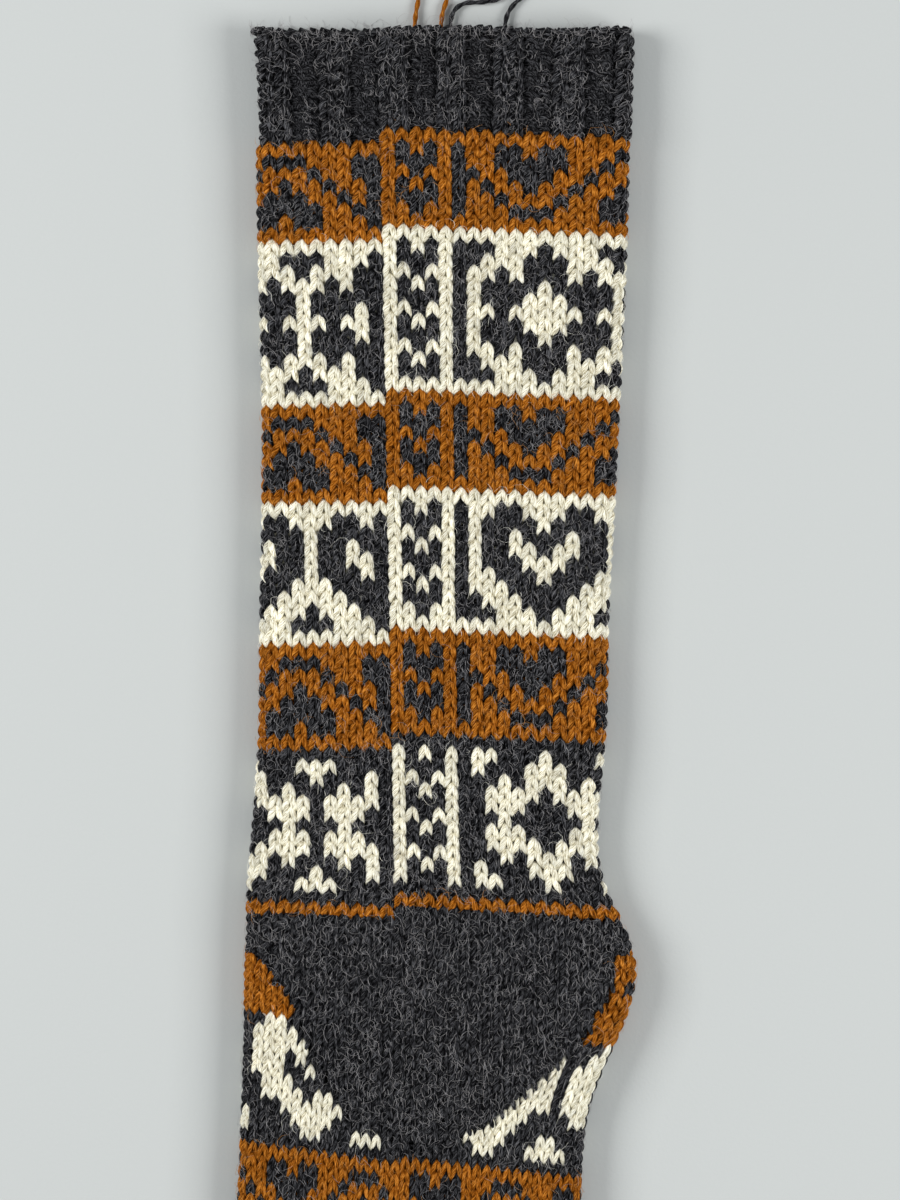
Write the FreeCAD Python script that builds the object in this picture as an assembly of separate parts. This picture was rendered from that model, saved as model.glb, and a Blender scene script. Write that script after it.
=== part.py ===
"""A hand-knitted colourwork sock lying flat with its heel side up.

Millimetres. +Z is up, +Y runs from the toe to the cuff. The origin is under the
middle of the sock, on the surface it lies on. The sock is a flattened knitted tube,
closed at the toe. Every section of it is a node of its own, cut from the same shell,
so that neighbours meet face to face. The leg and the foot are two bodies: the foot
folds up over the leg at the heel line, as when a sock is put away.
"""
import FreeCAD, Part
import math
import os

# ---- Driving dimensions -------------------------------------------------------------
LENGTH = 465.0            # cast-on edge to toe
THICKNESS = 11.2          # two layers of stranded knitting with the air between them
WALL = 2.8                # one layer of stranded knitting, with its floats
EDGE_ROUND = 5.0          # radius of the side folds, outside
INNER_ROUND = 2.5         # radius of the side folds, inside
FOLD_GAP = 0.3            # clearance between the leg and the foot at the fold
HEEL_LINE = 238.0         # depth below the cast-on edge where the leg ends
YARN = 1.4                # diameter of a loose yarn end

# The outline, as (depth below the cast-on edge, x). The foot leans to the left.
RIGHT_EDGE = [
    (0, 54.1), (32, 53.3), (57, 52.7), (100, 50.8), (127, 49.5), (165, 47.6),
    (193, 46.8), (232, 47.4), (249, 54.9), (273, 49.8), (289, 43.2), (313, 40.6),
    (345, 39.0), (390, 37.0), (425, 33.0), (448, 22.0),
]
LEFT_EDGE = [
    (0, -49.1), (32, -47.2), (57, -46.9), (100, -45.8), (127, -45.8), (165, -46.4),
    (193, -46.9), (234, -49.9), (273, -51.0), (313, -52.6), (345, -54.0),
    (390, -54.8), (425, -51.6), (448, -41.0),
]
TOE_CENTRE = -9.6         # x of the middle of the toe

# The knitted rounds from the cuff down, as (name, depth of its lower edge).
LEG_SECTIONS = [
    ("cast_on_edge", 2.5),
    ("ribbed_cuff", 31.0),
    ("rust_heart_band_upper", 57.0),
    ("cream_flower_band", 101.0),
    ("rust_heart_band_middle", 127.0),
    ("cream_heart_band", 165.0),
    ("rust_heart_band_lower", 193.0),
    ("charcoal_flower_band", 233.5),
    ("rust_stripe", HEEL_LINE),
]
FOOT_SECTIONS = [
    ("instep_rust_band", 268.0),
    ("instep_charcoal_band", 303.0),
    ("foot_rust_heart_band", 331.0),
    ("foot_cream_flower_band", 372.0),
    ("foot_rust_stripe_band", 398.0),
    ("foot_charcoal_band", 428.0),
    ("toe_cap", 461.5),
    ("grafted_toe_seam", LENGTH),
]
# The heel cup's lower edge, as (depth, x): a U whose tip is in the middle of the sole.
HEEL_CUP = [
    (247.0, -50.6), (263.5, -36.7), (282.0, -27.7), (295.0, -14.0), (300.8, 0.3),
    (295.0, 13.0), (281.0, 30.0), (267.0, 43.5), (249.0, 49.0),
]

# Loose yarn ends, from the cast-on edge outwards, as (x, y from the edge, z).
LOW = 0.75                # height of a yarn that lies on the surface
START = WALL / 2          # height at which a yarn leaves the lower layer
YARN_ENDS = {
    "rust_yarn_end_left": [
        (-4.6, 0.0, START), (-4.5, 4.0, 1.1), (-3.3, 9.0, LOW), (-4.5, 16.0, LOW),
        (-10.0, 23.0, LOW), (-19.0, 26.0, LOW), (-28.0, 23.5, LOW), (-36.0, 28.0, LOW),
        (-38.0, 37.0, LOW), (-32.0, 45.0, LOW), (-22.0, 45.5, LOW),
    ],
    "rust_yarn_end_right": [
        (2.4, 0.0, START), (2.6, 4.0, 1.1), (4.4, 8.6, LOW), (4.8, 16.0, LOW),
        (0.8, 23.0, LOW), (-2.0, 31.0, LOW), (3.0, 40.0, LOW), (0.0, 49.0, LOW),
        (-8.0, 54.0, LOW), (-18.0, 55.0, LOW), (-27.0, 53.0, LOW),
    ],
    "charcoal_yarn_end_left": [
        (5.0, 0.0, START), (4.9, 4.0, 1.2), (8.3, 7.4, LOW), (13.6, 7.3, LOW),
        (19.4, 8.4, LOW), (24.6, 13.0, LOW), (26.0, 22.0, LOW), (20.0, 30.0, LOW),
        (12.0, 35.0, LOW), (11.0, 44.0, LOW), (18.0, 50.5, LOW), (28.0, 50.0, LOW),
        (35.0, 44.0, LOW),
    ],
    "charcoal_yarn_end_right": [
        (19.7, 0.0, START), (19.9, 3.4, 1.2), (21.8, 6.6, LOW), (25.0, 9.4, LOW),
        (30.0, 12.5, LOW), (36.0, 17.5, LOW), (44.0, 20.5, LOW), (52.0, 17.0, LOW),
        (59.0, 21.5, LOW), (60.5, 31.0, LOW), (54.0, 37.5, LOW), (45.0, 36.0, LOW),
    ],
}
RUN_SHARE = 0.45          # share of the shorter run that an arc takes up

OUTSIDE = 20.0            # how far cutting blocks reach past the sock
HALF = LENGTH / 2


def outline(inset, past_cuff):
    """Closed plan outline, drawn in by inset and open past the cuff by past_cuff."""
    right = [FreeCAD.Vector(x - inset, HALF - depth, 0) for depth, x in RIGHT_EDGE]
    left = [FreeCAD.Vector(x + inset, HALF - depth, 0) for depth, x in LEFT_EDGE]
    toe = [FreeCAD.Vector(TOE_CENTRE, -HALF + inset, 0)]
    if past_cuff:
        right.insert(0, right[0] + FreeCAD.Vector(0, past_cuff, 0))
        left.insert(0, left[0] + FreeCAD.Vector(0, past_cuff, 0))
    side = Part.BSplineCurve()
    side.interpolate(right + toe + left[::-1])
    mouth = Part.LineSegment(left[0], right[0])
    return Part.Wire([side.toShape(), mouth.toShape()])


def rounded_slab(inset, past_cuff, bottom, height, radius):
    """The outline raised into a slab whose long upper and lower edges are rounded."""
    wire = outline(inset, past_cuff)
    wire.translate(FreeCAD.Vector(0, 0, bottom))
    slab = Part.Face(wire).extrude(FreeCAD.Vector(0, 0, height))
    mouth_y = HALF + past_cuff
    folds = []
    for edge in slab.Edges:
        box = edge.BoundBox
        flat = box.ZLength < 0.01
        at_mouth = box.YMin > mouth_y - 1
        if flat and not at_mouth:
            folds.append(edge)
    return slab.makeFillet(radius, folds)


def knitted_shell():
    """The whole sock: one layer of knitting round a flat hollow, open at the cuff."""
    outside = rounded_slab(0, 0, 0, THICKNESS, EDGE_ROUND)
    hollow = rounded_slab(WALL, OUTSIDE, WALL, THICKNESS - 2 * WALL, INNER_ROUND)
    return outside.cut(hollow)


def slab_between(upper_depth, lower_depth):
    """A block across the sock between two depths below the cast-on edge."""
    width = 200.0
    corner = FreeCAD.Vector(-width / 2, HALF - lower_depth, -OUTSIDE)
    return Part.makeBox(width, lower_depth - upper_depth, THICKNESS + 2 * OUTSIDE, corner)


def heel_block():
    """The upper half of the sock inside the heel cup's outline."""
    top_depth = HEEL_LINE + FOLD_GAP
    reach = 80.0
    points = [FreeCAD.Vector(x, HALF - depth, THICKNESS / 2) for depth, x in HEEL_CUP]
    curve = Part.BSplineCurve()
    curve.interpolate(points)
    corners = [
        points[-1],
        FreeCAD.Vector(reach, points[-1].y, THICKNESS / 2),
        FreeCAD.Vector(reach, HALF - top_depth, THICKNESS / 2),
        FreeCAD.Vector(-reach, HALF - top_depth, THICKNESS / 2),
        FreeCAD.Vector(-reach, points[0].y, THICKNESS / 2),
        points[0],
    ]
    edges = [curve.toShape()]
    for start, end in zip(corners, corners[1:]):
        edges.append(Part.LineSegment(start, end).toShape())
    return Part.Face(Part.Wire(edges)).extrude(FreeCAD.Vector(0, 0, THICKNESS))


def yarn_path(route):
    """Straight runs joined by tangent arcs as large as the runs allow, and the radii."""
    points = [FreeCAD.Vector(x, HALF + y, z) for x, y, z in route]
    edges = []
    radii = []
    last = points[0]
    for before, corner, after in zip(points, points[1:], points[2:]):
        back = before - corner
        ahead = after - corner
        half_turn = (math.pi - back.getAngle(ahead)) / 2
        setback = RUN_SHARE * min(back.Length, ahead.Length)
        radius = setback / math.tan(half_turn)
        back.normalize()
        ahead.normalize()
        start = corner + back * setback
        end = corner + ahead * setback
        bisector = back + ahead
        bisector.normalize()
        to_arc = radius / math.cos(half_turn) - radius
        middle = corner + bisector * to_arc
        edges.append(Part.LineSegment(last, start).toShape())
        edges.append(Part.Arc(start, middle, end).toShape())
        radii.append(radius)
        last = end
    edges.append(Part.LineSegment(last, points[-1]).toShape())
    return Part.Wire(edges), radii


def yarn_end(name, route):
    """A loose end of yarn as a round tube along its route."""
    path, radii = yarn_path(route)
    first = path.Edges[0]
    start = first.valueAt(first.FirstParameter)
    ring = Part.Circle(start, first.tangentAt(first.FirstParameter), YARN / 2)
    section = Part.Wire([ring.toShape()])
    tube = path.makePipeShell([section], True, True)
    expected = math.pi * YARN ** 2 / 4 * path.Length
    print(f"{name}: length {path.Length:.1f} mm, volume {tube.Volume / expected:.3f} of"
          f" expected, radii", " ".join(f"{radius:.1f}" for radius in radii))
    return tube


def sections():
    """Every knitted section of the sock as one solid each, by name."""
    shell = knitted_shell()
    heel = heel_block()
    shapes = {}
    upper = 0.0
    for name, lower in LEG_SECTIONS:
        shapes[name] = shell.common(slab_between(upper, lower))
        upper = lower
    foot_top = HEEL_LINE + FOLD_GAP
    foot = shell.common(slab_between(foot_top, LENGTH + 1))
    shapes["heel_cup"] = foot.common(heel)
    below_heel = foot.cut(heel)
    upper = foot_top
    for name, lower in FOOT_SECTIONS:
        shapes[name] = below_heel.common(slab_between(upper, lower + (lower == LENGTH)))
        upper = lower
    return shapes


def main():
    """Builds every node, centres the sock on the origin and writes it to parts/."""
    os.makedirs("parts", exist_ok=True)
    shapes = sections()
    boxes = [shape.optimalBoundingBox() for shape in shapes.values()]
    low_x = min(box.XMin for box in boxes)
    high_x = max(box.XMax for box in boxes)
    for name, route in YARN_ENDS.items():
        shapes[name] = yarn_end(name, route)
    to_centre = FreeCAD.Vector(-(low_x + high_x) / 2, 0, 0)
    print(f"moved by {to_centre.x:.3f} along x")
    for name, shape in shapes.items():
        shape.translate(to_centre)
        solid, = shape.Solids
        box = solid.optimalBoundingBox()
        print(f"{name}: valid {solid.isValid()}, volume {solid.Volume / 1000:.2f} cm3,"
              f" x {box.XMin:.2f} to {box.XMax:.2f}, y {box.YMin:.2f} to {box.YMax:.2f},"
              f" z {box.ZMin:.2f} to {box.ZMax:.2f}")
        solid.exportStep(f"parts/{name}.step")


main()
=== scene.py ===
"""Looks of a hand-knitted colourwork sock that lies flat with its heel side up.

Lengths are millimetres until a mesh is made, and then metres. Every stitch is real yarn:
two plump legs of a twisted two-ply strand, laid on a flattened tube whose sides are read
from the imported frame. The charts are typed row by row: C cream, R rust, d charcoal.
"""
import math

import bpy
import numpy as np
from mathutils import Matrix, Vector
from mathutils.bvhtree import BVHTree


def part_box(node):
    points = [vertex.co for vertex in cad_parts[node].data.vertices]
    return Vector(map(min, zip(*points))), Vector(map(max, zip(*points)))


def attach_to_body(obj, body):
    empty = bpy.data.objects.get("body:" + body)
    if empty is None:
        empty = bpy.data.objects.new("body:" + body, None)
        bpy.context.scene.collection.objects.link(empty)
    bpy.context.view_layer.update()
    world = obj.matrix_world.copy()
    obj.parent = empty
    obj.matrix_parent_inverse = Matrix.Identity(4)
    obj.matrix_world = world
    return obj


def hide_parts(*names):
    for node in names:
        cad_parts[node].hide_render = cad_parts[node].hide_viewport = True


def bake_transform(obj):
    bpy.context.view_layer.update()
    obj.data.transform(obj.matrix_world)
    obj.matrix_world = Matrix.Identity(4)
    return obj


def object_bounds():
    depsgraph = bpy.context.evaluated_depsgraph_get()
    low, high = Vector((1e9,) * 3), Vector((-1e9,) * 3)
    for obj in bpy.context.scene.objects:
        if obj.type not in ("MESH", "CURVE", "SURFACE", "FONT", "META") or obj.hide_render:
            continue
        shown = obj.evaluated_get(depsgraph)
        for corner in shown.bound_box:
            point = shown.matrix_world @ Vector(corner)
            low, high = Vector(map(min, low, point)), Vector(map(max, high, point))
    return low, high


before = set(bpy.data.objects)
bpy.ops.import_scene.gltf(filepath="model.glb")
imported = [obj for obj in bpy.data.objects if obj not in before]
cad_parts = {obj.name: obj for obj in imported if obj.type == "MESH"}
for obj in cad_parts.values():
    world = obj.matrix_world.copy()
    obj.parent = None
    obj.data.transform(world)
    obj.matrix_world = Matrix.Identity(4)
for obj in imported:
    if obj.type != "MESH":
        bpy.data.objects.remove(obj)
cad_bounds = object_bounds()

MM = 0.001
MOUTH_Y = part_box("cast_on_edge")[1].y / MM
SEED = 52
TAU = 2 * math.pi

# ---- Driving dimensions, mm ---------------------------------------------------------
YARN = 1.4                # diameter of a loose yarn end
SKIN = 1.15               # from the middle of the knitting to its outer side
LEG_STITCHES = 52         # stitches round the leg
FOOT_STITCHES = 70        # stitches round the foot
HEEL_COLUMN = 2.95        # width of a column of the heel cup
HEEL_ROW = 2.75           # height of a row of the heel cup
HEEL_DOME = 1.5           # how far the middle of the heel cup stands proud
HEEL_MIDDLE = 2.0         # x of that middle
DOME_RISE = 22.0          # length over which the dome rises below the heel line
DOME_FALL = 26.0          # and over which it falls towards the tip
TOE_COLUMN = 2.9          # width of a column of the toe
TOE_ROW = 3.0             # height of a row of the toe
TOE_STOP = 0.6            # how far from the CAD toe's end its fabric stops
CUFF_ROWS = 9             # rows of rib that show in the cuff
RIDGE = 0.55              # how far the knit ribs of the cuff stand proud
GROOVE = 0.5              # how far the purl grooves between them lie back
PURL_DEPTH = 0.5          # how far purl bumps lie below knit stitches
PURL_PAINTED_SHADE = -0.9         # painted shade of the purl bumps in the grooves: their darker tone, from -1 to 1
PURL_FUZZ = 0.35          # share of them that carries stray fibres
STRIPE_ROW = 3.35         # height of the rust stripe's row
FLOATS = (-0.55, -1.45)   # outer and inner side of the floats, from the middle
FLOAT_ROW = 1.6           # height of the steps of their mesh

HAIR = 0.036              # radius of a stray fibre
HAIRS_EACH = {"d": 7.0, "R": 4.0, "C": 4.0}    # stray fibres of a stitch
HAIRY_WIDTH = 3.6         # width of the columns that carry so many
EDGE_HAIRS = 9.0          # stray fibres of a loop of the cast-on edge
LOOSE_SHARE = 0.35        # share of stray fibres that curl across the stitches
YARN_HAIRS = 90           # stray fibres of a loose yarn end
YARN_TWIST = 3.4          # length in which the plies of a loose end turn once

# Shares of a texture map: one for each shape of strand, and one for stray fibres.
SHAPE_BAND = 0.28
HAIR_BAND = (0.86, 1)

# The camera looks straight down on this part of the sock.
VIEW_HEIGHT = 324.0
VIEW_CENTRE = (4.67, 78.6)
CAMERA_HEIGHT = 1300.0
SENSOR = 36.0
# Soft square lights: place and size in metres, and power in watts.
LIGHTS = {
    "key": ((-1.05, 0.3, 0.88), 0.6, 14.5),
    "fill": ((1.05, -0.1, 0.88), 0.7, 13.0),
}
LIT_SPOT = (0, 0.03, 0)
ROOM_LIGHT = 0.44         # strength of the even light from all round

# ---- Colours, sRGB: deep shade, body, light fibre, stray fibre ----------------------
WOOLS = {
    "charcoal_wool": ((1, 1, 2), (9, 9, 11), (92, 92, 95), (166, 163, 163)),
    "rust_wool": ((66, 29, 1), (140, 76, 8), (204, 134, 54), (200, 142, 82)),
    "cream_wool": ((158, 147, 116), (238, 232, 208), (254, 253, 240), (253, 250, 236)),
}
FLOOR_COLOUR = (191, 194, 192)
ROOM_COLOUR = (232, 236, 240)
WOOL_OF = {"d": "charcoal_wool", "R": "rust_wool", "C": "cream_wool"}
COLOUR_NAME = {"d": "charcoal", "R": "rust", "C": "cream"}

# ---- Charts -------------------------------------------------------------------------
HEARTS_ON_RUST = [
    "RRRRRRRRRRRRRR",
    "ddRRRddRddRRRd",
    "RRdRRdddddRRdR",
    "dRRdRRdddRRdRR",
    "ddRRdRRdRRdRRd",
    "dddRRdRRRdRRdd",
    "RddRRRdddRRRdd",
    "RRRRRRRRRRRRRR",
]
HALF_FLOWER_ON_CREAM = [
    "CCCCCCCCCC",
    "ddCCCdCCCd",
    "dCCCdddCCC",
    "CCdCdddCdC",
    "CddddCdddd",
    "CdddCCCddd",
    "CCdCCCCCdC",
]
HEARTS_ON_CREAM = [
    "CCCCCCCCCC",
    "CCddCCCddC",
    "CddddCdddd",
    "CddCdddCdd",
    "CddCCdCCdd",
    "CdddCCCddd",
    "CCdddCdddC",
    "CCCdddddCC",
    "dCCCdddCCC",
    "ddCCCdCCCd",
    "CCCCCCCCCC",
]
HALF_FLOWER_ON_CHARCOAL = [
    "dddddddddd",
    "CCdddCdddC",
    "CdddCCCddd",
    "ddCdCCCdCd",
    "dCCCCdCCCC",
    "dCCCdddCCC",
    "ddCdddddCd",
]
# The chain panel between the two pattern borders: B is the band's main colour.
CHAIN_ROWS = ["dBd", "ddd", "BdB"]

# Motifs beside the heel cup, from the left fold and up to the right fold. Dots are
# charcoal. The second chart begins at the foot's column where the first one ends.
LEFT_GUSSET = [
    "...CC...............",
    "..CCCC..............",
    "..CCCCC.............",
    "..CCC.C.............",
    "..CCC..C............",
    "...CCC..............",
    "...CCCC.CC..........",
    ".....CCCCCC.........",
    ".C....CCCC..........",
    "CC.....CC...CCC..CC.",
    "....................",
]
RIGHT_GUSSET = [
    "..............C.",
    "..........C..CC.",
    ".........CC.CCC.",
    "........CCC.CCC.",
    "........CCC.CCC.",
    ".......CCCC.CCC.",
    "......CCC....CC.",
    "....CCCC........",
    "..CCCCC...CC....",
    "....CC...CCCC...",
    "................",
]
UPPER_GUSSET_ROWS = 10    # rows of the rust above them, plain beside the heel
PLAIN_COLUMNS = 38        # its plain columns, from the left fold round to the right one
RUST_DASH = ((34, 35, 36), 5)  # columns and row of its one charcoal mark

# Free yarn ends from the cast-on edge, as (x, y from that edge, z). The sock was
# centred after they were drawn, which moved them by YARN_SHIFT along x.
YARN_SHIFT = -0.256
LOW = 0.75                # height of a yarn that lies on the floor
START = 1.4               # height at which a yarn leaves the lower layer
YARN_ENDS = {
    "rust_yarn_end_left": [
        (-4.6, 0.0, START), (-4.5, 4.0, 1.1), (-3.3, 9.0, LOW), (-4.5, 16.0, LOW),
        (-10.0, 23.0, LOW), (-19.0, 26.0, LOW), (-28.0, 23.5, LOW), (-36.0, 28.0, LOW),
        (-38.0, 37.0, LOW), (-32.0, 45.0, LOW), (-22.0, 45.5, LOW),
    ],
    "rust_yarn_end_right": [
        (2.4, 0.0, START), (2.6, 4.0, 1.1), (4.4, 8.6, LOW), (4.8, 16.0, LOW),
        (0.8, 23.0, LOW), (-2.0, 31.0, LOW), (3.0, 40.0, LOW), (0.0, 49.0, LOW),
        (-8.0, 54.0, LOW), (-18.0, 55.0, LOW), (-27.0, 53.0, LOW),
    ],
    "charcoal_yarn_end_left": [
        (5.0, 0.0, START), (4.9, 4.0, 1.2), (8.3, 7.4, LOW), (13.6, 7.3, LOW),
        (19.4, 8.4, LOW), (24.6, 13.0, LOW), (26.0, 22.0, LOW), (20.0, 30.0, LOW),
        (12.0, 35.0, LOW), (11.0, 44.0, LOW), (18.0, 50.5, LOW), (28.0, 50.0, LOW),
        (35.0, 44.0, LOW),
    ],
    "charcoal_yarn_end_right": [
        (19.7, 0.0, START), (19.9, 3.4, 1.2), (21.8, 6.6, LOW), (25.0, 9.4, LOW),
        (30.0, 12.5, LOW), (36.0, 17.5, LOW), (44.0, 20.5, LOW), (52.0, 17.0, LOW),
        (59.0, 21.5, LOW), (60.5, 31.0, LOW), (54.0, 37.5, LOW), (45.0, 36.0, LOW),
    ],
}


# ---- Materials ----------------------------------------------------------------------
def linear(colour):
    """An sRGB colour of 0 to 255 as linear light with full alpha."""
    parts = [c / 255 for c in colour]
    curve = [p / 12.92 if p <= 0.04045 else ((p + 0.055) / 1.055) ** 2.4 for p in parts]
    return (*curve, 1.0)


def new_material(name):
    """A new material, its node tree, a function that adds nodes, and its shader."""
    material = bpy.data.materials.new(name)
    material.use_nodes = True
    tree = material.node_tree
    shader = tree.nodes["Principled BSDF"]

    def add(kind, **values):
        node = tree.nodes.new(kind)
        for key, value in values.items():
            setattr(node, key, value)
        return node

    return material, tree, add, shader


def wool(name, deep, body, light, hair):
    """Spun wool: light and deep fibres that run along the yarn, a tone that differs at random
    from strand to strand and is lowered as painted shade on purl bumps and floats, fuzzy.
    """
    material, tree, add, shader = new_material(name)
    link = tree.links.new
    strand = add("ShaderNodeAttribute", attribute_name="strand")
    stretch = add("ShaderNodeVectorMath", operation="MULTIPLY")
    stretch.inputs[1].default_value = (11.0, 0.6, 1.0)
    link(strand.outputs["Vector"], stretch.inputs[0])
    fibres = add("ShaderNodeTexNoise")
    fibres.inputs["Scale"].default_value = 1.0
    fibres.inputs["Detail"].default_value = 4.0
    fibres.inputs["Roughness"].default_value = 0.65
    link(stretch.outputs[0], fibres.inputs["Vector"])
    ramp = add("ShaderNodeValToRGB")
    ramp.color_ramp.elements[0].position = 0.40
    ramp.color_ramp.elements[0].color = linear(deep)
    ramp.color_ramp.elements[1].position = 0.62
    ramp.color_ramp.elements[1].color = linear(light)
    ramp.color_ramp.elements.new(0.50).color = linear(body)
    link(fibres.outputs[0], ramp.inputs[0])

    # tone: random from stitch to stitch, and lowered as painted shade on the purl bumps and the
    # floats.
    tone = add("ShaderNodeAttribute", attribute_name="tone")
    brightness = add("ShaderNodeMapRange")
    brightness.inputs["From Min"].default_value = -1.0
    brightness.inputs["From Max"].default_value = 1.0
    brightness.inputs["To Min"].default_value = 0.78
    brightness.inputs["To Max"].default_value = 1.22
    link(tone.outputs["Fac"], brightness.inputs["Value"])
    fuzz = add("ShaderNodeAttribute", attribute_name="fuzz")
    mixed = add("ShaderNodeMix", data_type="RGBA")
    link(fuzz.outputs["Fac"], mixed.inputs["Factor"])
    link(ramp.outputs["Color"], mixed.inputs["A"])
    mixed.inputs["B"].default_value = linear(hair)
    toned_and_shaded = add("ShaderNodeVectorMath", operation="SCALE")
    link(mixed.outputs["Result"], toned_and_shaded.inputs[0])
    link(brightness.outputs[0], toned_and_shaded.inputs["Scale"])
    link(toned_and_shaded.outputs[0], shader.inputs["Base Color"])

    bump = add("ShaderNodeBump")
    bump.inputs["Strength"].default_value = 0.7
    bump.inputs["Distance"].default_value = 0.25 * MM
    link(fibres.outputs[0], bump.inputs["Height"])
    link(bump.outputs[0], shader.inputs["Normal"])
    shader.inputs["Roughness"].default_value = 0.88
    shader.inputs["Specular IOR Level"].default_value = 0.04
    shader.inputs["Sheen Weight"].default_value = 0.03
    shader.inputs["Sheen Roughness"].default_value = 0.45
    shader.inputs["Sheen Tint"].default_value = linear(light)
    return material


def floor_cloth():
    """A pale plain surface with a faint mottle."""
    material, tree, add, shader = new_material("pale_floor")
    place = add("ShaderNodeTexCoord")
    mottle = add("ShaderNodeTexNoise")
    mottle.inputs["Scale"].default_value = 900.0
    mottle.inputs["Detail"].default_value = 3.0
    tree.links.new(place.outputs["Object"], mottle.inputs["Vector"])
    bump = add("ShaderNodeBump")
    bump.inputs["Strength"].default_value = 0.25
    bump.inputs["Distance"].default_value = 0.2 * MM
    tree.links.new(mottle.outputs[0], bump.inputs["Height"])
    tree.links.new(bump.outputs[0], shader.inputs["Normal"])
    shader.inputs["Base Color"].default_value = linear(FLOOR_COLOUR)
    shader.inputs["Roughness"].default_value = 0.9
    return material


MATERIALS = {name: wool(name, *colours) for name, colours in WOOLS.items()}


# ---- Camera, lights and floor -------------------------------------------------------
def add_camera():
    """A long lens straight above the sock."""
    data = bpy.data.cameras.new("camera")
    data.sensor_width = SENSOR
    data.lens = SENSOR * CAMERA_HEIGHT / VIEW_HEIGHT
    camera = bpy.data.objects.new("camera", data)
    camera.location = Vector((*VIEW_CENTRE, CAMERA_HEIGHT)) * MM
    bpy.context.scene.collection.objects.link(camera)
    bpy.context.scene.camera = camera


def add_area_light(name, place, size, power):
    """A soft square light that faces the sock."""
    data = bpy.data.lights.new(name, "AREA")
    data.size = size
    data.energy = power
    light = bpy.data.objects.new(name, data)
    light.location = place
    towards = Vector(LIT_SPOT) - light.location
    light.rotation_euler = towards.to_track_quat("-Z", "Y").to_euler()
    bpy.context.scene.collection.objects.link(light)


def add_studio():
    """Soft light from both sides, stronger from the left, and a pale floor."""
    bpy.context.scene.view_settings.view_transform = "Standard"
    world = bpy.data.worlds.new("studio")
    bpy.context.scene.world = world
    world.use_nodes = True
    background = world.node_tree.nodes["Background"]
    background.inputs["Color"].default_value = linear(ROOM_COLOUR)
    background.inputs["Strength"].default_value = ROOM_LIGHT
    for name, (place, size, power) in LIGHTS.items():
        add_area_light(name, place, size, power)
    bpy.ops.mesh.primitive_plane_add(size=6.0, location=(0, 0, -0.0002))
    floor = bpy.context.active_object
    floor.name = "floor"
    floor.data.materials.append(floor_cloth())


# ---- Meshes of strands --------------------------------------------------------------
class Strands:
    """Gathers many short tubes of yarn, each a grid of rings, into one closed mesh."""

    def __init__(self):
        self.points = []
        self.quads = []
        self.maps = []
        self.strand = []
        self.tone = []
        self.fuzz = []
        self.count = 0

    def add(self, rings, strand, tone, fuzz, cells, band):
        """Adds tubes. rings: tubes x rings x sides x 3 places, in mm. Every tube gets
        its own cell of the texture map: cells across and down, in this band of it."""
        number, length, sides, _ = rings.shape
        index = np.arange(number * length * sides).reshape(number, length, sides)
        index += self.count
        self.count += index.size
        follow = np.roll(index, -1, axis=2)
        walls = np.stack(
            [index[:, :-1], follow[:, :-1], follow[:, 1:], index[:, 1:]], axis=-1
        )
        half = sides // 2
        caps = []
        for ring, turn in ((0, -1), (length - 1, 1)):
            for step in range(half - 1):
                corners = [step, step + 1, sides - 2 - step, sides - 1 - step]
                caps.append(index[:, ring][:, corners[::turn]])
        caps = np.stack(caps, axis=1)
        self.points.append(rings.reshape(-1, 3))
        self.quads.append(walls.reshape(-1, 4))
        self.quads.append(caps.reshape(-1, 4))
        self.strand.append(strand.reshape(-1, 3))
        self.tone.append(np.broadcast_to(tone[:, None, None], index.shape).reshape(-1))
        self.fuzz.append(np.full(index.size, float(fuzz)))
        self.map_strands(number, length, sides, caps.shape[1], cells, band)

    def map_strands(self, number, length, sides, cap_count, cells, band):
        """Unrolls every tube in its cell, and puts its caps in the cell's corner."""
        across, down = cells
        low, high = band
        cell = np.arange(number)
        corner = np.stack(
            [(cell % across) / across, low + (high - low) * (cell // across) / down], axis=-1
        )
        filled = 0.86
        size = np.array([1 / across, (high - low) / down]) * filled
        along, around = np.meshgrid(np.arange(length - 1), np.arange(sides), indexing="ij")
        steps = np.stack(
            [
                np.stack([along, around], -1),
                np.stack([along, around + 1], -1),
                np.stack([along + 1, around + 1], -1),
                np.stack([along + 1, around], -1),
            ],
            axis=-2,
        ) / np.array([length - 1, sides])
        walls = corner[:, None, None, None] + steps[None] * size
        self.maps.append(walls.reshape(-1, 2))
        caps = np.broadcast_to(corner[:, None, None], (number, cap_count, 4, 2))
        self.maps.append(caps.reshape(-1, 2))

    def mesh_object(self, name, material):
        """The gathered strands as an object, in metres."""
        return quad_object(
            name,
            np.concatenate(self.points),
            np.concatenate(self.quads),
            material,
            {"tone": np.concatenate(self.tone), "fuzz": np.concatenate(self.fuzz)},
            np.concatenate(self.strand),
            np.concatenate(self.maps),
        )


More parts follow.
